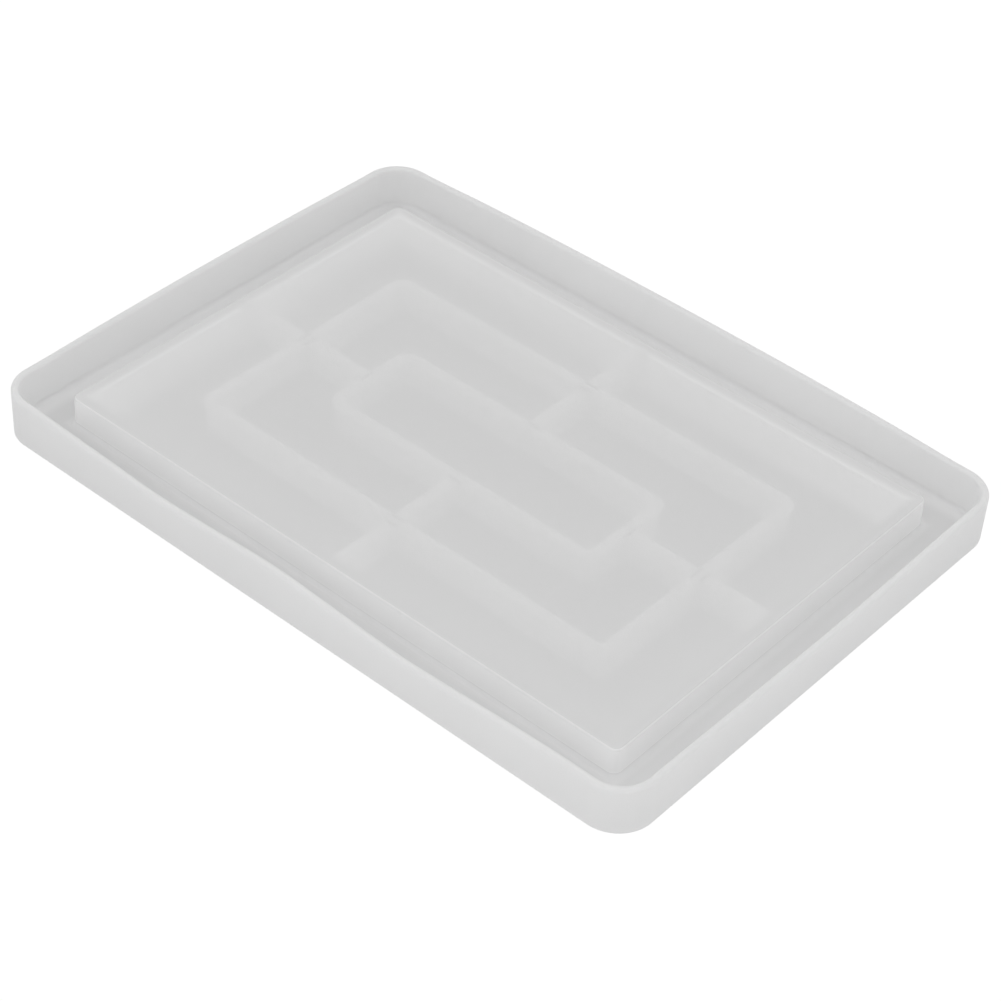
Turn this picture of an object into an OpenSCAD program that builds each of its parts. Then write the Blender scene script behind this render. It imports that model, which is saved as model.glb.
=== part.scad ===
// Shallow casting mould, moulded in one piece from soft translucent silicone.
// It is a flat tray: a low wall runs all the way round, a level channel runs
// inside the wall, and a broad raised core stands in the middle. A casting
// poured over it comes out as a shallow open box with a rim.
// The core is hollow underneath and is carried by two rounded rib rings and
// four straight cross ribs, which stand on the table with the wall.
//
// Frame: origin at the centre of the footprint, on the table. X runs along
// the long sides, Y across, Z up. "front" is -Y, "back" +Y, "left" -X and
// "right" +X.

/* [Outer wall] */
// Overall length, outside the wall
mould_length = 300; // [294:1:312]
// Overall width, outside the wall
mould_width = 216; // [210:1:228]
// Height of the rim above the table
wall_height = 20; // [17:0.5:30]
// Thickness of the soft wall
wall_thickness = 3; // [2:0.25:5]
// Outside radius of the four wall corners
corner_radius = 15; // [8:0.5:22]
// Rounding of the two edges along the top of the rim
rim_round = 1; // [0.4:0.1:1]

/* [Channel] */
// Width of the channel between the wall and the core, along its foot
channel_width = 16.5; // [12:0.5:20]
// Thickness of the floor sheet under the channel
floor_thickness = 2.4; // [1.6:0.1:3.2]
// Radius of the moulded fillet along both sides of the channel
foot_fillet = 2; // [1:0.25:4]

/* [Raised core] */
// Height of the core's top face above the table
core_height = 15; // [11:0.5:16]
// Thickness of the core's top sheet
deck_thickness = 2.5; // [1.6:0.1:3.5]
// Thickness of the core's side walls
core_wall = 3; // [2:0.25:3]
// Outside radius of the core's four corners
core_radius = 3.5; // [3.25:0.25:8]
// Rounding of the edge round the core's top face
deck_round = 1; // [0.4:0.1:1.5]

/* [Support ribs] */
// Thickness of every rib
rib_thickness = 3; // [2:0.25:4]
// Step inwards from the core's edge to the middle ring, and on to the centre ring
rib_pitch = 33.5; // [28:0.5:34]
// Outside radius of the corners of both rib rings
rib_radius = 5.5; // [5:0.5:9]

/* [Hidden] */
$fn = 96;

silicone = [0.93, 0.93, 0.92, 0.9];
inner_radius = corner_radius - wall_thickness;
straight_x = mould_length - 2 * corner_radius;
straight_y = mould_width - 2 * corner_radius;
core_length = mould_length - 2 * (wall_thickness + channel_width);
core_width = mould_width - 2 * (wall_thickness + channel_width);
core_inner_radius = core_radius - core_wall;
under_deck = core_height - deck_thickness;
middle_x = core_length - 2 * rib_pitch;
middle_y = core_width - 2 * rib_pitch;
centre_x = middle_x - 2 * rib_pitch;
centre_y = middle_y - 2 * rib_pitch;

// Flat outline of a rounded rectangle, centred.
module rounded_rect(l, w, r) {
    union() {
        square([l - 2 * r, w], center = true);
        square([l, w - 2 * r], center = true);
        for (sx = [-1, 1], sy = [-1, 1])
            translate([sx * (l / 2 - r), sy * (w / 2 - r)]) circle(r);
    }
}

// Upright ring of constant thickness t, standing from z0 to z1.
module upright_ring(l, w, r, t, z0, z1) {
    translate([0, 0, z0])
        linear_extrude(height = z1 - z0)
            difference() {
                rounded_rect(l, w, r);
                rounded_rect(l - 2 * t, w - 2 * t, r - t);
            }
}

// Cross-section of the wall, outside face at x = 0, rim rounded both sides.
module wall_section() {
    r = min(rim_round, wall_thickness / 2 - 0.05);
    translate([-wall_thickness, 0]) square([wall_thickness, wall_height - r]);
    translate([-wall_thickness + r, wall_height - r])
        square([wall_thickness - 2 * r, r]);
    for (x = [-r, -wall_thickness + r])
        translate([x, wall_height - r]) circle(r);
}

// Straight run of wall facing +X, outside face at x = 0.
module straight_wall(run) {
    translate([0, run / 2, 0])
        rotate([90, 0, 0])
            linear_extrude(height = run) wall_section();
}

// Quarter bend of wall, centred on its own axis, from +X round to +Y.
module wall_bend() {
    rotate_extrude(angle = 90) translate([corner_radius, 0]) wall_section();
}

// Concave fillet section: its two straight sides lie along +x and +y.
module fillet_section(r) {
    difference() {
        square([r, r]);
        translate([r, r]) circle(r);
    }
}

// Runs a section round a rounded rectangle; the section's x = 0 is the outline.
module run_round(l, w, r) {
    for (a = [0, 180]) rotate([0, 0, a]) {
        translate([l / 2, w / 2 - r, 0])
            rotate([90, 0, 0]) linear_extrude(height = w - 2 * r) children();
        translate([-(l / 2 - r), w / 2, 0])
            rotate([90, 0, 90]) linear_extrude(height = l - 2 * r) children();
        translate([l / 2 - r, w / 2 - r, 0])
            rotate_extrude(angle = 90) translate([r, 0]) children();
        translate([-(l / 2 - r), w / 2 - r, 0])
            rotate([0, 0, 90])
                rotate_extrude(angle = 90) translate([r, 0]) children();
    }
}

// ---- wall: four straight runs and four bends, butted end to end ----
module front_wall() color(silicone)
    translate([0, -mould_width / 2, 0]) rotate([0, 0, -90]) straight_wall(straight_x);

module back_wall() color(silicone)
    translate([0, mould_width / 2, 0]) rotate([0, 0, 90]) straight_wall(straight_x);

module left_wall() color(silicone)
    translate([-mould_length / 2, 0, 0]) rotate([0, 0, 180]) straight_wall(straight_y);

module right_wall() color(silicone)
    translate([mould_length / 2, 0, 0]) straight_wall(straight_y);

module corner_at(sx, sy, turn) color(silicone)
    translate([sx * straight_x / 2, sy * straight_y / 2, 0])
        rotate([0, 0, turn]) wall_bend();

module back_right_corner() corner_at(1, 1, 0);
module back_left_corner() corner_at(-1, 1, 90);
module front_left_corner() corner_at(-1, -1, 180);
module front_right_corner() corner_at(1, -1, 270);

// ---- channel: level floor with a fillet up to the wall and to the core ----
module channel_floor() color(silicone)
    linear_extrude(height = floor_thickness)
        difference() {
            rounded_rect(mould_length - 2 * wall_thickness,
                         mould_width - 2 * wall_thickness, inner_radius);
            rounded_rect(core_length, core_width, core_radius);
        }

module wall_foot_fillet() color(silicone)
    translate([0, 0, floor_thickness])
        run_round(mould_length - 2 * wall_thickness,
                  mould_width - 2 * wall_thickness, inner_radius)
            mirror([1, 0]) fillet_section(foot_fillet);

module core_foot_fillet() color(silicone)
    translate([0, 0, floor_thickness])
        run_round(core_length, core_width, core_radius)
            fillet_section(foot_fillet);

// ---- core: side wall and top sheet, open underneath ----
module core_side_wall() color(silicone)
    upright_ring(core_length, core_width, core_radius, core_wall, 0, under_deck);

// Cross-section of the deck's outer edge, from the core's straight outline in.
module deck_edge_section() {
    r = min(deck_round, deck_thickness - 0.2);
    translate([-core_radius, 0]) square([core_radius, deck_thickness - r]);
    translate([-core_radius, deck_thickness - r]) square([core_radius - r, r]);
    translate([-r, deck_thickness - r]) circle(r);
}

module core_deck() color(silicone)
    translate([0, 0, under_deck]) union() {
        translate([-(core_length / 2 - core_radius), -(core_width / 2 - core_radius), 0])
            cube([core_length - 2 * core_radius, core_width - 2 * core_radius,
                  deck_thickness]);
        run_round(core_length, core_width, core_radius) deck_edge_section();
    }

// ---- ribs under the deck ----
module middle_rib_ring() color(silicone)
    upright_ring(middle_x, middle_y, rib_radius, rib_thickness, 0, under_deck);

module centre_rib_ring() color(silicone)
    upright_ring(centre_x, centre_y, rib_radius, rib_thickness, 0, under_deck);

// Two straight rib lengths along +X: centre ring to middle ring, then on to
// the core's side wall. Nothing crosses the pocket inside the centre ring.
module cross_rib(core_run, middle_run, centre_run) color(silicone) {
    for (s = [[centre_run / 2, middle_run / 2 - rib_thickness],
              [middle_run / 2, core_run / 2 - core_wall]])
        translate([s[0], -rib_thickness / 2, 0])
            cube([s[1] - s[0], rib_thickness, under_deck]);
}

module right_cross_rib() cross_rib(core_length, middle_x, centre_x);
module left_cross_rib() rotate([0, 0, 180]) cross_rib(core_length, middle_x, centre_x);
module back_cross_rib() rotate([0, 0, 90]) cross_rib(core_width, middle_y, centre_y);
module front_cross_rib() rotate([0, 0, -90]) cross_rib(core_width, middle_y, centre_y);

front_wall();
back_wall();
left_wall();
right_wall();
front_left_corner();
front_right_corner();
back_left_corner();
back_right_corner();
channel_floor();
wall_foot_fillet();
core_foot_fillet();
core_side_wall();
core_deck();
middle_rib_ring();
centre_rib_ring();
front_cross_rib();
back_cross_rib();
left_cross_rib();
right_cross_rib();
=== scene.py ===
import math

import bmesh
import bpy
from mathutils import Matrix, Vector, noise


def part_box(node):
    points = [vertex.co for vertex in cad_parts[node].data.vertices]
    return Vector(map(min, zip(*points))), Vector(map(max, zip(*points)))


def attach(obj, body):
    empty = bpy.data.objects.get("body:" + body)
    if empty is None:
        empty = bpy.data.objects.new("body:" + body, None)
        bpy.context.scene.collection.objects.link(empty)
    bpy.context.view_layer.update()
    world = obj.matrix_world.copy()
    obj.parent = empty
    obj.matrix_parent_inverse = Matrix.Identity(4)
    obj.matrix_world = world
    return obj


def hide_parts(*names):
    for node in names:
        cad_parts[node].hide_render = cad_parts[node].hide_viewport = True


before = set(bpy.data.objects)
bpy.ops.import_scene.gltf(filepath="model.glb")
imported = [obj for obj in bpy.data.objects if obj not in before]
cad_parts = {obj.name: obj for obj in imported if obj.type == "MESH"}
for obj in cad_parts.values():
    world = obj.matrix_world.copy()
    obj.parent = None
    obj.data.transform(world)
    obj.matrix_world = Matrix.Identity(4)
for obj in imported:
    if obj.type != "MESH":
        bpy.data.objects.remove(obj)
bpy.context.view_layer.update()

# ----------------------------------------------------------------------------
# Sizes, in millimetres, read from the CAD frame, save a few given as numbers.
# ----------------------------------------------------------------------------


def mm_box(node):
    lo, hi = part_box(node)
    return [v * 1000 for v in lo], [v * 1000 for v in hi]


BR_LO, BR_HI = mm_box("back_right_corner")
RW_LO, RW_HI = mm_box("right_wall")
DK_LO, DK_HI = mm_box("core_deck")
FL_LO, FL_HI = mm_box("channel_floor")
FF_LO, FF_HI = mm_box("wall_foot_fillet")
MR_LO, MR_HI = mm_box("middle_rib_ring")
CR_LO, CR_HI = mm_box("centre_rib_ring")
XR_LO, XR_HI = mm_box("right_cross_rib")

HX, HY, RIM = BR_HI[0], BR_HI[1], BR_HI[2]          # half sizes and rim height
R_OUT = BR_HI[0] - BR_LO[0]                          # wall bend, outside
T_WALL = RW_HI[0] - RW_LO[0]
CX, CY = HX - R_OUT, HY - R_OUT                      # centres of the wall bends
KX, KY, DECK = DK_HI[0], DK_HI[1], DK_HI[2]          # core half sizes, top
UNDER = DK_LO[2]                                     # underside of the deck
FLOOR = FL_HI[2]
FILLET = FF_HI[2] - FF_LO[2]
R_CORE = 3.5
T_RIB = XR_HI[1] - XR_LO[1]
T_CORE = 3.0
MX, MY = MR_HI[0], MR_HI[1]
NX, NY = CR_HI[0], CR_HI[1]
R_RIB = 5.5
EDGE = 1.0                                           # rounding of the core's top edge
FL_W = (HX - T_WALL) - KX                            # channel, wall to core

# ----------------------------------------------------------------------------
# Geometry helpers
# ----------------------------------------------------------------------------


def spline(points, x):
    """Smooth curve through given points (Hermite, finite differences)."""
    if x <= points[0][0]:
        return points[0][1]
    if x >= points[-1][0]:
        return points[-1][1]
    i = max(k for k in range(len(points) - 1) if points[k][0] <= x)

    def slope(k):
        if k == 0 or k == len(points) - 1:
            return 0.0
        return (points[k + 1][1] - points[k - 1][1]) / (points[k + 1][0] - points[k - 1][0])

    x0, y0 = points[i]
    x1, y1 = points[i + 1]
    h = x1 - x0
    t = (x - x0) / h
    return (
        (2 * t**3 - 3 * t**2 + 1) * y0
        + (t**3 - 2 * t**2 + t) * h * slope(i)
        + (-2 * t**3 + 3 * t**2) * y1
        + (t**3 - t**2) * h * slope(i + 1)
    )


# How far the free rim of the soft wall leans outwards, in mm, along each side.
LEAN_FRONT = [(-CX, 0.0), (-121, 0.5), (-92, 1.4), (-63, 2.3), (-36, 1.4), (-9, 0.05),
              (22, 1.2), (54, 2.4), (86, 1.2), (117, 0.05), (CX, 0.0)]
LEAN_RIGHT = [(-CY, 0.0), (-45, 0.5), (8, 1.0), (55, 0.5), (CY, 0.0)]
LEAN_BACK = [(-CX, 0.0), (-100, 1.6), (-55, 2.85), (0, 3.3), (55, 2.85), (100, 1.6), (CX, 0.0)]
LEAN_LEFT = [(-CY, 0.0), (-50, 0.85), (0, 1.3), (50, 0.85), (CY, 0.0)]
LEANS = {"right": LEAN_RIGHT, "back": LEAN_BACK, "left": LEAN_LEFT, "front": LEAN_FRONT}


def stations():
    """Round the mould anticlockwise from the front end of the right side: (wall bend centre line point, core bend centre line point, outward normal, lean)."""
    ix, iy = KX - R_CORE, KY - R_CORE
    sides = [
        ("right", (1, 0), (CX, -CY), (CX, CY), (ix, -iy), (ix, iy), 62),
        ("back", (0, 1), (CX, CY), (-CX, CY), (ix, iy), (-ix, iy), 90),
        ("left", (-1, 0), (-CX, CY), (-CX, -CY), (-ix, iy), (-ix, -iy), 62),
        ("front", (0, -1), (-CX, -CY), (CX, -CY), (-ix, -iy), (ix, -iy), 90),
    ]
    bend = 22
    out = []
    for k, (side, n, a, b, p, q, count) in enumerate(sides):
        for j in range(count):
            t = j / count
            o = (a[0] + (b[0] - a[0]) * t, a[1] + (b[1] - a[1]) * t)
            i = (p[0] + (q[0] - p[0]) * t, p[1] + (q[1] - p[1]) * t)
            along = o[1] if n[0] else o[0]
            out.append((o, i, n, spline(LEANS[side], along)))
        start = k * math.pi / 2
        for j in range(bend):
            g = start + (math.pi / 2) * j / bend
            out.append((b, q, (math.cos(g), math.sin(g)), 0.0))
    return out


STATIONS = stations()
CORNER = [not (abs(s[2][0]) == 1 and s[2][1] == 0 or abs(s[2][1]) == 1 and s[2][0] == 0) for s in STATIONS]


def lean_at(z):
    t = min(max((z - 3.0) / (RIM - 3.0), 0.0), 1.0)
    return t ** 1.35


def ring_point(s, family, d, z):
    """A point of the cross-section at one station. Family o: d inwards from the wall's outer face. Family i: d outwards from the core's face."""
    o, i, n, lean = s
    if family == "o":
        r = R_OUT - d + lean * lean_at(z)
        return (o[0] + r * n[0], o[1] + r * n[1], z)
    r = R_CORE + d
    return (i[0] + r * n[0], i[1] + r * n[1], z)


def arc(cx, cz, r, a0, a1, steps):
    """Points on an arc in the section, angles in degrees."""
    return [
        (cx + r * math.cos(math.radians(a0 + (a1 - a0) * k / steps)),
         cz + r * math.sin(math.radians(a0 + (a1 - a0) * k / steps)))
        for k in range(steps + 1)
    ]


def new_object(name, bm):
    bmesh.ops.recalc_face_normals(bm, faces=bm.faces)
    me = bpy.data.meshes.new(name)
    bmesh.ops.scale(bm, vec=(0.001, 0.001, 0.001), verts=bm.verts)
    bm.to_mesh(me)
    bm.free()
    ob = bpy.data.objects.new(name, me)
    bpy.context.scene.collection.objects.link(ob)
    return ob


# ----------------------------------------------------------------------------
# The pieces of the casting, each a closed skin
# ----------------------------------------------------------------------------
def smooth_by_angle(ob, degrees=38):
    for p in ob.data.polygons:
        p.use_smooth = True
    ob.data.set_sharp_from_angle(angle=math.radians(degrees))


def strip(bm, a, b):
    n = len(a)
    for k in range(n):
        j = (k + 1) % n
        bm.faces.new((a[k], a[j], b[j], b[k]))


def ring_from(name, rows, closed=True):
    """A closed skin from rows of points, each row one loop round the mould. With closed the last row joins the first."""
    bm = bmesh.new()
    loops = [[bm.verts.new(p) for p in row] for row in rows]
    for a, b in zip(loops, loops[1:]):
        strip(bm, a, b)
    if closed:
        strip(bm, loops[-1], loops[0])
    else:
        bm.faces.new(loops[-1])
        bm.faces.new(list(reversed(loops[0])))
    ob = new_object(name, bm)
    smooth_by_angle(ob)
    return ob


def rows_of(section):
    return [[ring_point(s, fam, d, z) for s in STATIONS] for fam, d, z in section]


def soft_wall():
    """The upstanding wall: rounded foot, rounded free rim, its rim bowed a little between the corners."""
    base, rim = 0.7, 1.25
    pts = [("o", base - x, z) for x, z in arc(0, base, base, -90, 0, 4)]
    for k in range(1, 11):
        pts.append(("o", 0.0, base + (RIM - rim - base) * k / 11))
    for x, z in arc(0, RIM - rim, rim, 0, 90, 8):
        pts.append(("o", rim - x, z))
    for x, z in arc(0, RIM - rim, rim, 90, 180, 8):
        pts.append(("o", T_WALL - rim - x, z))
    for k in range(1, 11):
        pts.append(("o", T_WALL, (RIM - rim) * (1 - k / 11)))
    pts.append(("o", T_WALL, 0.0))
    return ring_from("soft_wall", rows_of(pts))


def channel_skin():
    """The moat floor with the fillet up to the wall and the fillet up to the core."""
    r, tuck = FILLET, 0.3
    pts = [("o", T_WALL - tuck, 0.25), ("o", T_WALL - tuck, FLOOR + r)]
    for x, z in arc(0, FLOOR + r, r, 180, 270, 8):
        pts.append(("o", T_WALL + r + x, z))
    pts.append(("o", T_WALL + r + 0.8, FLOOR))
    pts.append(("i", (FL_W - 2 * r) / 2 + r, FLOOR))
    pts.append(("i", r + 0.8, FLOOR))
    for x, z in arc(0, FLOOR + r, r, 270, 360, 8):
        pts.append(("i", r - x, z))
    pts.append(("i", -tuck, FLOOR + r))
    pts.append(("i", -tuck, 0.25))
    pts.append(("i", 0.03, 0.0))
    pts.append(("o", T_WALL + 0.03, 0.0))
    return ring_from("channel_skin", rows_of(pts))


def rounded_rows(hx, hy, radius, section):
    """Rows round a rounded rectangle with the same stations as the mould. Section gives (inset, z)."""
    rows = []
    for d, z in section:
        rows.append([
            (math.copysign(hx - radius, o[0]) + (radius - d) * n[0] if corner else
             (o[0] / CX * (hx - radius) if n[1] else n[0] * (hx - d)),
             math.copysign(hy - radius, o[1]) + (radius - d) * n[1] if corner else
             (o[1] / CY * (hy - radius) if n[0] else n[1] * (hy - d)),
             z)
            for (o, i, n, lean), corner in zip(STATIONS, CORNER)
        ])
    return rows


def core_shell():
    """The raised core: upright side wall, rounded top edge and the flat deck over its pockets."""
    edge, foot = EDGE, 0.5
    outer = [("i", -foot, 0.0)]
    for k in range(0, 5):
        outer.append(("i", 0.0, foot + (FLOOR + FILLET - foot) * k / 4))
    for k in range(1, 5):
        outer.append(("i", 0.0, FLOOR + FILLET + (DECK - edge - FLOOR - FILLET) * k / 5))
    for x, z in arc(0, DECK - edge, edge, 0, 90, 8):
        outer.append(("i", -edge + x, z))
    outer.append(("i", -edge - 0.8, DECK))
    outer.append(("i", -T_CORE, DECK))
    hx, hy, r, top = KX - T_CORE, KY - T_CORE, 1.9, 1.2
    inner = [(-0.4, 0.0)]
    for k in range(0, 4):
        inner.append((0.0, 0.4 + (UNDER - top - 0.4) * k / 4))
    for x, z in arc(top, UNDER - top, top, 180, 90, 5):
        inner.append((x, z))
    rows = list(reversed(rounded_rows(hx, hy, r, inner))) + rows_of(outer)
    return ring_from("core_shell", rows, closed=False)


def rib_profile(t):
    """Half of a rib's outline from the foot up, as (how far out from its face, z)."""
    foot, root = 0.7, 1.0
    half = [(-foot + foot * math.sin(math.radians(g)), foot - foot * math.cos(math.radians(g))) for g in (0, 25, 50, 70, 90)]
    half += [(0.0, foot + (UNDER - root - foot) * k / 5) for k in range(1, 5)]
    half += [(root - root * math.cos(math.radians(g)), UNDER - root + root * math.sin(math.radians(g))) for g in (0, 22.5, 45, 67.5, 90)]
    half.append((root, UNDER + 0.2))
    return half


def rib_ring(name, hx, hy):
    half = rib_profile(T_RIB)
    section = [(-g, z) for g, z in half] + [(T_RIB + g, z) for g, z in reversed(half)]
    return ring_from(name, rounded_rows(hx, hy, R_RIB, section))


def cross_rib(name, axis, sign, spans):
    """A straight rib in two lengths, each spreading a little where it meets the rings and the core wall."""
    bm = bmesh.new()
    half = rib_profile(T_RIB)
    spread, tuck, h = 1.4, 0.3, T_RIB / 2
    for a, b in spans:
        along = [(a - tuck, spread), (a, spread)]
        for g in (20, 40, 60, 80):
            along.append((a + spread * (1 - math.cos(math.radians(g))), spread * (1 - math.sin(math.radians(g)))))
        n = 8
        for k in range(n + 1):
            along.append((a + spread + (b - a - 2 * spread) * k / n, 0.0))
        for g in (80, 60, 40, 20):
            along.append((b - spread * (1 - math.cos(math.radians(g))), spread * (1 - math.sin(math.radians(g)))))
        along += [(b, spread), (b + tuck, spread)]
        loops = []
        for s, wide in along:
            profile = [(h + g + wide, z) for g, z in half] + [(-h - g - wide, z) for g, z in reversed(half)]
            loops.append([bm.verts.new((w, sign * s, z) if axis == "y" else (sign * s, w, z)) for w, z in profile])
        for p, q in zip(loops, loops[1:]):
            strip(bm, p, q)
        bm.faces.new(loops[0])
        bm.faces.new(loops[-1])
    ob = new_object(name, bm)
    smooth_by_angle(ob)
    return ob


# ----------------------------------------------------------------------------
# Material
# ----------------------------------------------------------------------------
def silicone(name, tone, pass_on, see=0.0, painted_shade_by_height=None, painted_glow=0.0, dimmed_see_band=None, glow_up=None, glow_out=None):
    """Milky platinum silicone. tone is how pale it is, pass_on how much of the light goes through instead of back, and
    see how much passes unscattered; the copies made from it differ in tone as painted light and shade.
    painted_shade_by_height is a list of (z in mm, share of the tone), painted shade by height. painted_glow is the
    strength of a white emission, a painted glow that stands in for light running inside the rubber. dimmed_see_band is
    how far in from the core's outline, in mm, the see-through share stays dark, and where it is clear: thick rubber
    over the side wall, painted shade over the pockets beyond it. glow_up and glow_out are lists of (mm, share of
    painted_glow), by height and by distance out from the core.
    """
    mat = bpy.data.materials.new(name)
    mat.use_nodes = True
    nt = mat.node_tree
    nt.nodes.clear()
    N = nt.nodes.new
    L = nt.links.new
    co = N("ShaderNodeTexCoord")

    def noise_of(scale, detail, rough=0.5):
        t = N("ShaderNodeTexNoise")
        t.inputs["Scale"].default_value = scale
        t.inputs["Detail"].default_value = detail
        t.inputs["Roughness"].default_value = rough
        L(co.outputs["Object"], t.inputs["Vector"])
        return t.outputs["Fac"]

    def remap(value, lo, hi, a=0.25, b=0.75):
        m = N("ShaderNodeMapRange")
        m.inputs["From Min"].default_value = a
        m.inputs["From Max"].default_value = b
        m.inputs["To Min"].default_value = lo
        m.inputs["To Max"].default_value = hi
        L(value, m.inputs["Value"])
        return m.outputs["Result"]

    def inward():
        """Distance in from the core's outline, in metres; negative outside it."""
        ab = N("ShaderNodeVectorMath")
        ab.operation = "ABSOLUTE"
        L(co.outputs["Object"], ab.inputs[0])
        far = N("ShaderNodeVectorMath")
        far.operation = "SUBTRACT"
        far.inputs[0].default_value = (KX / 1000, KY / 1000, 0)
        L(ab.outputs[0], far.inputs[1])
        parts = N("ShaderNodeSeparateXYZ")
        L(far.outputs[0], parts.inputs[0])
        low = N("ShaderNodeMath")
        low.operation = "MINIMUM"
        L(parts.outputs["X"], low.inputs[0])
        L(parts.outputs["Y"], low.inputs[1])
        return low.outputs[0]

    def steps(value, span, table):
        """A grey ramp through table, a list of (mm, share), over 0 to span mm."""
        ramp = N("ShaderNodeValToRGB")
        L(value, ramp.inputs["Fac"])
        while len(ramp.color_ramp.elements) < len(table):
            ramp.color_ramp.elements.new(0.5)
        for e, (mm, share) in zip(ramp.color_ramp.elements, table):
            e.position = mm / span
            e.color = (share, share, share, 1)
        return ramp.outputs["Color"]

    # faint cloudiness of the cured rubber, a few centimetres across
    cloudy_tone_and_painted_shade = remap(noise_of(22, 3), tone - 0.006, tone + 0.006)
    # painted shade: the tone is scaled by height from the table
    if painted_shade_by_height:
        sep = N("ShaderNodeSeparateXYZ")
        L(co.outputs["Object"], sep.inputs[0])
        ramp = N("ShaderNodeValToRGB")
        L(remap(sep.outputs["Z"], 0.0, 1.0, 0.0, RIM / 1000), ramp.inputs["Fac"])
        while len(ramp.color_ramp.elements) < len(painted_shade_by_height):
            ramp.color_ramp.elements.new(0.5)
        for e, (z, share) in zip(ramp.color_ramp.elements, painted_shade_by_height):
            e.position = z / RIM
            e.color = (share, share, share, 1)
        mul = N("ShaderNodeMath")
        mul.operation = "MULTIPLY"
        L(cloudy_tone_and_painted_shade, mul.inputs[0])
        L(ramp.outputs["Color"], mul.inputs[1])
        cloudy_tone_and_painted_shade = mul.outputs[0]
    colour = N("ShaderNodeCombineColor")
    for k in range(3):
        L(cloudy_tone_and_painted_shade, colour.inputs[k])

    # the grain a matt mould face leaves, and a softer unevenness of the skin
    bump = N("ShaderNodeBump")
    bump.inputs["Strength"].default_value = 0.16
    bump.inputs["Distance"].default_value = 0.00025
    L(noise_of(2600, 2), bump.inputs["Height"])
    swell = N("ShaderNodeBump")
    swell.inputs["Strength"].default_value = 0.10
    swell.inputs["Distance"].default_value = 0.002
    L(noise_of(60, 1), swell.inputs["Height"])
    L(bump.outputs["Normal"], swell.inputs["Normal"])

    p = N("ShaderNodeBsdfPrincipled")
    L(colour.outputs["Color"], p.inputs["Base Color"])
    L(remap(noise_of(90, 4), 0.40, 0.54), p.inputs["Roughness"])
    p.inputs["IOR"].default_value = 1.41
    p.inputs["Specular IOR Level"].default_value = 0.4
    # painted glow: a white emission that stands in for light running inside the rubber
    p.inputs["Emission Color"].default_value = (1, 1, 1, 1)
    p.inputs["Emission Strength"].default_value = painted_glow
    if glow_up or glow_out:
        if glow_up:
            up = N("ShaderNodeSeparateXYZ")
            L(co.outputs["Object"], up.inputs[0])
            share = steps(remap(up.outputs["Z"], 0.0, 1.0, 0.0, RIM / 1000), RIM, glow_up)
        else:
            share = steps(remap(inward(), 0.0, 1.0, 0.0, -0.02), 20.0, glow_out)
        # the painted glow shows on the outer skin only, so it is nought on the skin's back
        side_of = N("ShaderNodeNewGeometry")
        front = N("ShaderNodeMath")
        front.operation = "SUBTRACT"
        front.inputs[0].default_value = 1.0
        L(side_of.outputs["Backfacing"], front.inputs[1])
        lit = N("ShaderNodeMath")
        lit.operation = "MULTIPLY"
        L(share, lit.inputs[0])
        L(front.outputs[0], lit.inputs[1])
        power = N("ShaderNodeMath")
        power.operation = "MULTIPLY"
        power.inputs[1].default_value = painted_glow
        L(lit.outputs[0], power.inputs[0])
        L(power.outputs[0], p.inputs["Emission Strength"])
    L(swell.outputs["Normal"], p.inputs["Normal"])
    tr = N("ShaderNodeBsdfTranslucent")
    L(colour.outputs["Color"], tr.inputs["Color"])
    L(swell.outputs["Normal"], tr.inputs["Normal"])
    mix = N("ShaderNodeMixShader")
    mix.inputs[0].default_value = pass_on
    L(p.outputs["BSDF"], mix.inputs[1])
    L(tr.outputs["BSDF"], mix.inputs[2])
    last = mix
    if see > 0:
        clear = N("ShaderNodeBsdfTransparent")
        # partly painted shade: the see-through share is dark near the core's outline; over the side wall this is thick
        # rubber, and over the pockets beyond it it is painted shade
        if dimmed_see_band:
            see_through_tint = remap(inward(), 0.12, 1.0, dimmed_see_band[0] / 1000, dimmed_see_band[1] / 1000)
            grey = N("ShaderNodeCombineColor")
            for k in range(3):
                L(see_through_tint, grey.inputs[k])
            L(grey.outputs["Color"], clear.inputs["Color"])
        last = N("ShaderNodeMixShader")
        last.inputs[0].default_value = see
        L(mix.outputs[0], last.inputs[1])
        L(clear.outputs[0], last.inputs[2])
    out = N("ShaderNodeOutputMaterial")
    L(last.outputs[0], out.inputs["Surface"])
    return mat


# ----------------------------------------------------------------------------
# Build
# ----------------------------------------------------------------------------
# These are copies of one milky silicone. Their tones differ as painted light and shade: paler or darker by how lit each
# face should look.
WALL = silicone("milky_silicone_wall", 0.915, 0.50, 0.06)
# painted glow: the core's side wall carries an emission, a little stronger towards its top edge as a painted highlight
SIDE = silicone("milky_silicone_core_side_painted_glow", 0.98, 0.45, 0.03, painted_glow=0.30,
                glow_up=[(0.0, 0.92), (7.0, 0.92), (11.0, 0.89), (13.0, 0.94), (14.0, 1.0)])
# painted shade: the inner face of the core's side wall is a darker copy
INNER = silicone("milky_silicone_core_inner_painted_shade", 0.80, 0.50, 0.05)
# painted glow: the channel floor carries an emission at the core's foot and next to the outer wall, none in between
CHANNEL = silicone("milky_silicone_channel_painted_glow", 0.90, 0.50, 0.06, painted_glow=0.10,
                   glow_out=[(0.0, 0.80), (1.4, 0.72), (3.0, 0.05), (4.0, 0.0), (9.0, 0.0), (12.5, 0.95)])
# the deck's see-through share is dark up to 3.2 mm in from the core's outline and clear by 6 mm: thick rubber over the
# side wall, painted shade over the pockets
DECK_SKIN = silicone("milky_silicone_deck", 0.98, 0.14, 0.24, dimmed_see_band=(3.2, 6.0))
# painted highlight: the bend at the core's top edge is a paler copy that lets little light through
BEND = silicone("milky_silicone_deck_bend_painted_highlight", 0.98, 0.27, 0.03)
LINING = silicone("milky_silicone_lining", 0.95, 0.50, 0.80)
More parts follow.
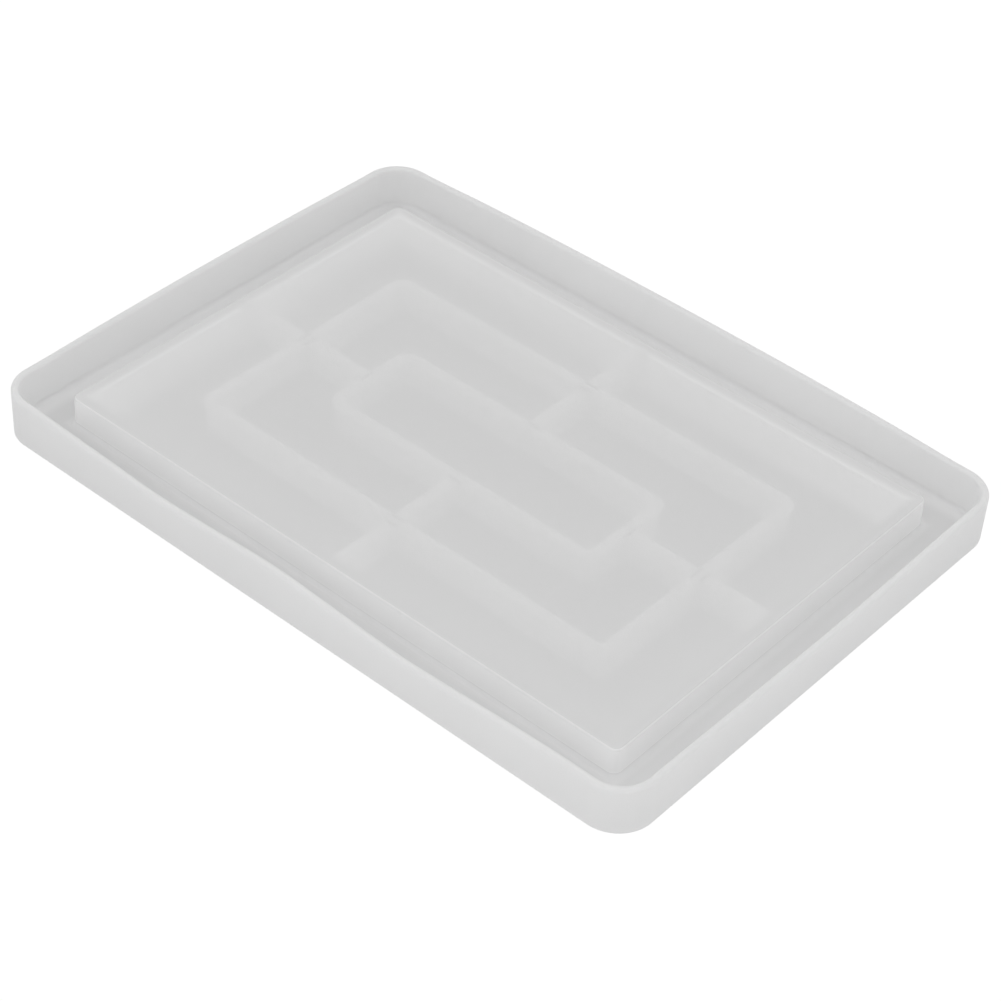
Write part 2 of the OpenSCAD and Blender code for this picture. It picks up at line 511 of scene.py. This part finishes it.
# painted shade: the ribs darken towards their foot, and the sliver of each rib inside the deck is darker
RIB = silicone("milky_silicone_rib_painted_shade", 0.95, 0.45, 0.08,
               painted_shade_by_height=[(0.0, 0.80), (4.0, 0.88), (8.0, 0.97), (11.5, 1.0), (12.6, 0.95), (12.68, 0.75)])


def dress(ob, mat, *nodes):
    ob.data.materials.append(mat)
    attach(ob, "root")
    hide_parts(*nodes)


dress(soft_wall(), WALL, "front_wall", "back_wall", "left_wall", "right_wall",
      "front_left_corner", "front_right_corner", "back_left_corner", "back_right_corner")
dress(channel_skin(), CHANNEL, "channel_floor", "wall_foot_fillet", "core_foot_fillet")
core = core_shell()
dress(core, SIDE, "core_side_wall", "core_deck")
for mat in (DECK_SKIN, BEND, LINING, INNER):
    core.data.materials.append(mat)


def depth_in_core(x, y):
    """How far a point lies inside the core's outline."""
    qx, qy = abs(x) - (KX - R_CORE), abs(y) - (KY - R_CORE)
    return R_CORE - math.hypot(max(qx, 0), max(qy, 0)) - min(max(qx, qy), 0)


for face in core.data.polygons:
    x, y, z = (v * 1000 for v in face.center)
    depth = depth_in_core(x, y)
    if z > DECK - 0.05:
        face.material_index = 1            # the deck
    elif z > DECK - EDGE and depth < 1.5:
        face.material_index = 2            # the bend down to the side wall, over thick rubber and paler: a painted highlight along the core's top edge
    elif z > UNDER - 0.05 and depth > 1.5:
        face.material_index = 3            # the ceiling of the pockets
    elif depth > 1.5:
        face.material_index = 4            # the inner face of the side wall, a darker copy: painted shade
dress(rib_ring("middle_rib_skin", MX, MY), RIB, "middle_rib_ring")
dress(rib_ring("centre_rib_skin", NX, NY), RIB, "centre_rib_ring")
for side, axis, sign, half, mid, near in (
    ("front", "y", -1, KY, MY, NY), ("back", "y", 1, KY, MY, NY),
    ("left", "x", -1, KX, MX, NX), ("right", "x", 1, KX, MX, NX),
):
    spans = ((near, mid - T_RIB), (mid, half - T_CORE))
    dress(cross_rib(side + "_cross_rib_skin", axis, sign, spans), RIB, side + "_cross_rib")


# ----------------------------------------------------------------------------
# Stage: pale floor, soft light, camera
# ----------------------------------------------------------------------------
TOWARDS = (0.72, -0.69, 0.0)
SHARE = 0.16
FLOOR_GLOW = 0.74        # how bright the lit sweep is to the mould
MOAT_GLOW = 0.50         # the light that reaches the underside of the moat
EDGE_GLOW = 0.22         # light that creeps in under the core's side wall
# painted shade: the floor inside the pockets is near black, a dark sheet for the shade under the deck
POCKET_SHADE_FLOOR = 0.05       # tone of the floor inside the pockets
WORLD = 0.66             # at the horizon
ZENITH = 1.01
KEY = 1.5


def stage():
    bm = bmesh.new()
    s = 4000.0
    vs = [bm.verts.new((x * s, y * s, -0.02)) for x, y in ((-1, -1), (1, -1), (1, 1), (-1, 1))]
    bm.faces.new(vs)
    floor = new_object("floor", bm)
    mat = bpy.data.materials.new("floor")
    mat.use_nodes = True
    nt = mat.node_tree
    nt.nodes.clear()
    N = nt.nodes.new
    L = nt.links.new
    co = N("ShaderNodeTexCoord")
    ab = N("ShaderNodeVectorMath")
    ab.operation = "ABSOLUTE"
    L(co.outputs["Object"], ab.inputs[0])

    def outside(hx, hy):
        """1 outside a rectangle of these half sizes in mm, 0 inside."""
        sub = N("ShaderNodeVectorMath")
        sub.operation = "SUBTRACT"
        L(ab.outputs[0], sub.inputs[0])
        sub.inputs[1].default_value = (hx / 1000, hy / 1000, 0)
        sep = N("ShaderNodeSeparateXYZ")
        L(sub.outputs[0], sep.inputs[0])
        mx = N("ShaderNodeMath")
        mx.operation = "MAXIMUM"
        L(sep.outputs["X"], mx.inputs[0])
        L(sep.outputs["Y"], mx.inputs[1])
        gt = N("ShaderNodeMath")
        gt.operation = "GREATER_THAN"
        gt.inputs[1].default_value = 0.0
        L(mx.outputs[0], gt.inputs[0])
        return gt.outputs[0]

    def mixed(fac, one, two):
        mix = N("ShaderNodeMixShader")
        L(fac, mix.inputs[0])
        L(one, mix.inputs[1])
        L(two, mix.inputs[2])
        return mix.outputs[0]

    # the light comes a little more from the front right
    lean = N("ShaderNodeVectorMath")
    lean.operation = "DOT_PRODUCT"
    L(co.outputs["Object"], lean.inputs[0])
    lean.inputs[1].default_value = TOWARDS

    def glow(strength, share=0.0, reach=0.25):
        """Glow of the floor, stronger by share towards the light and weaker away from it."""
        e = N("ShaderNodeEmission")
        e.inputs["Color"].default_value = (1, 1, 1, 1)
        m = N("ShaderNodeMapRange")
        m.inputs["From Min"].default_value = -reach
        m.inputs["From Max"].default_value = reach
        m.inputs["To Min"].default_value = strength * (1 - share)
        m.inputs["To Max"].default_value = strength * (1 + share)
        L(lean.outputs["Value"], m.inputs["Value"])
        L(m.outputs["Result"], e.inputs["Strength"])
        return e.outputs[0]

    # overexposed white sweep all round the mould, the same light coming up under
    # the moat, and inside the pockets a near-black floor, painted shade seen through the deck
    path = N("ShaderNodeLightPath")
    mirrored = N("ShaderNodeMath")
    mirrored.operation = "MAXIMUM"
    L(path.outputs["Is Camera Ray"], mirrored.inputs[0])
    L(path.outputs["Is Glossy Ray"], mirrored.inputs[1])
    sweep = mixed(mirrored.outputs[0], glow(FLOOR_GLOW, SHARE), glow(1.02))
    matt = N("ShaderNodeBsdfDiffuse")
    matt.inputs["Color"].default_value = (POCKET_SHADE_FLOOR, POCKET_SHADE_FLOOR, POCKET_SHADE_FLOOR, 1)
    inner = N("ShaderNodeVectorMath")
    inner.operation = "SUBTRACT"
    inner.inputs[0].default_value = ((KX - T_CORE) / 1000, (KY - T_CORE) / 1000, 0)
    L(ab.outputs[0], inner.inputs[1])
    split = N("ShaderNodeSeparateXYZ")
    L(inner.outputs[0], split.inputs[0])
    edge = N("ShaderNodeMath")
    edge.operation = "MINIMUM"
    L(split.outputs["X"], edge.inputs[0])
    L(split.outputs["Y"], edge.inputs[1])
    fall = N("ShaderNodeMapRange")
    fall.interpolation_type = "SMOOTHSTEP"
    fall.inputs["From Max"].default_value = 0.010
    fall.inputs["To Min"].default_value = 1.0
    fall.inputs["To Max"].default_value = 0.0
    L(edge.outputs[0], fall.inputs["Value"])
    pocket = mixed(fall.outputs["Result"], matt.outputs[0], glow(EDGE_GLOW, 0.5, 0.11))
    under = mixed(outside(KX - T_CORE / 2, KY - T_CORE / 2), pocket, glow(MOAT_GLOW, 2 * SHARE, 0.15))
    top = mixed(outside(HX - 6, HY - 6), under, sweep)
    # seen from below, the floor is left out
    side = N("ShaderNodeNewGeometry")
    clear = N("ShaderNodeBsdfTransparent")
    top = mixed(side.outputs["Backfacing"], top, clear.outputs[0])
    out = N("ShaderNodeOutputMaterial")
    L(top, out.inputs["Surface"])
    floor.data.materials.append(mat)

    world = bpy.data.worlds.new("studio")
    bpy.context.scene.world = world
    world.use_nodes = True
    wt = world.node_tree
    bg = wt.nodes["Background"]
    wc = wt.nodes.new("ShaderNodeTexCoord")
    ws = wt.nodes.new("ShaderNodeSeparateXYZ")
    wt.links.new(wc.outputs["Generated"], ws.inputs[0])
    ramp = wt.nodes.new("ShaderNodeMapRange")
    ramp.interpolation_type = "SMOOTHSTEP"
    ramp.inputs["From Min"].default_value = 0.0
    ramp.inputs["From Max"].default_value = 1.0
    ramp.inputs["To Min"].default_value = WORLD
    ramp.inputs["To Max"].default_value = ZENITH
    wt.links.new(ws.outputs["Z"], ramp.inputs["Value"])
    lean = wt.nodes.new("ShaderNodeVectorMath")
    lean.operation = "DOT_PRODUCT"
    wt.links.new(wc.outputs["Generated"], lean.inputs[0])
    lean.inputs[1].default_value = TOWARDS
    side = wt.nodes.new("ShaderNodeMapRange")
    side.inputs["From Min"].default_value = -1.0
    side.inputs["From Max"].default_value = 1.0
    side.inputs["To Min"].default_value = 1 - SHARE
    side.inputs["To Max"].default_value = 1 + SHARE
    wt.links.new(lean.outputs["Value"], side.inputs["Value"])
    both = wt.nodes.new("ShaderNodeMath")
    both.operation = "MULTIPLY"
    wt.links.new(ramp.outputs["Result"], both.inputs[0])
    wt.links.new(side.outputs["Result"], both.inputs[1])
    wp = wt.nodes.new("ShaderNodeLightPath")
    seen = wt.nodes.new("ShaderNodeMix")
    seen.data_type = "FLOAT"
    wt.links.new(wp.outputs["Is Camera Ray"], seen.inputs[0])
    wt.links.new(both.outputs[0], seen.inputs[2])
    seen.inputs[3].default_value = 1.02
    bg.inputs["Color"].default_value = (1, 1, 1, 1)
    wt.links.new(seen.outputs[0], bg.inputs["Strength"])

    def area(name, at, size, watts):
        light = bpy.data.lights.new(name, "AREA")
        light.shape = "SQUARE"
        light.size = size
        light.energy = watts
        ob = bpy.data.objects.new(name, light)
        ob.location = at
        ob.rotation_euler = (Vector((0, 0, 0)) - Vector(at)).to_track_quat("-Z", "Y").to_euler()
        bpy.context.scene.collection.objects.link(ob)

    area("key", (-0.35, -1.3, 0.9), 1.0, KEY)


def camera():
    az, el, roll = math.radians(38.82182), math.radians(40.53601), math.radians(3.82298)
    back = Vector((math.sin(az) * math.cos(el), -math.cos(az) * math.cos(el), math.sin(el)))
    right = Vector((math.cos(az), math.sin(az), 0))
    up = back.cross(right)
    x = right * math.cos(roll) + up * math.sin(roll)
    y = -right * math.sin(roll) + up * math.cos(roll)
    at = right * 0.00327491 + up * -0.00788447 + back * 0.99208417
    data = bpy.data.cameras.new("camera")
    data.sensor_fit = "HORIZONTAL"
    data.sensor_width = 36.0
    data.lens = 36.0 * 2697.71855 / 1001.0
    data.clip_start = 0.05
    data.clip_end = 50
    cam = bpy.data.objects.new("camera", data)
    m = Matrix((x, y, back)).transposed().to_4x4()
    m.translation = at
    cam.matrix_world = m
    bpy.context.scene.collection.objects.link(cam)
    bpy.context.scene.camera = cam


stage()
camera()
view = bpy.context.scene.view_settings
view.view_transform = "Standard"
view.look = "None"
view.exposure = 0.0
view.gamma = 1.0
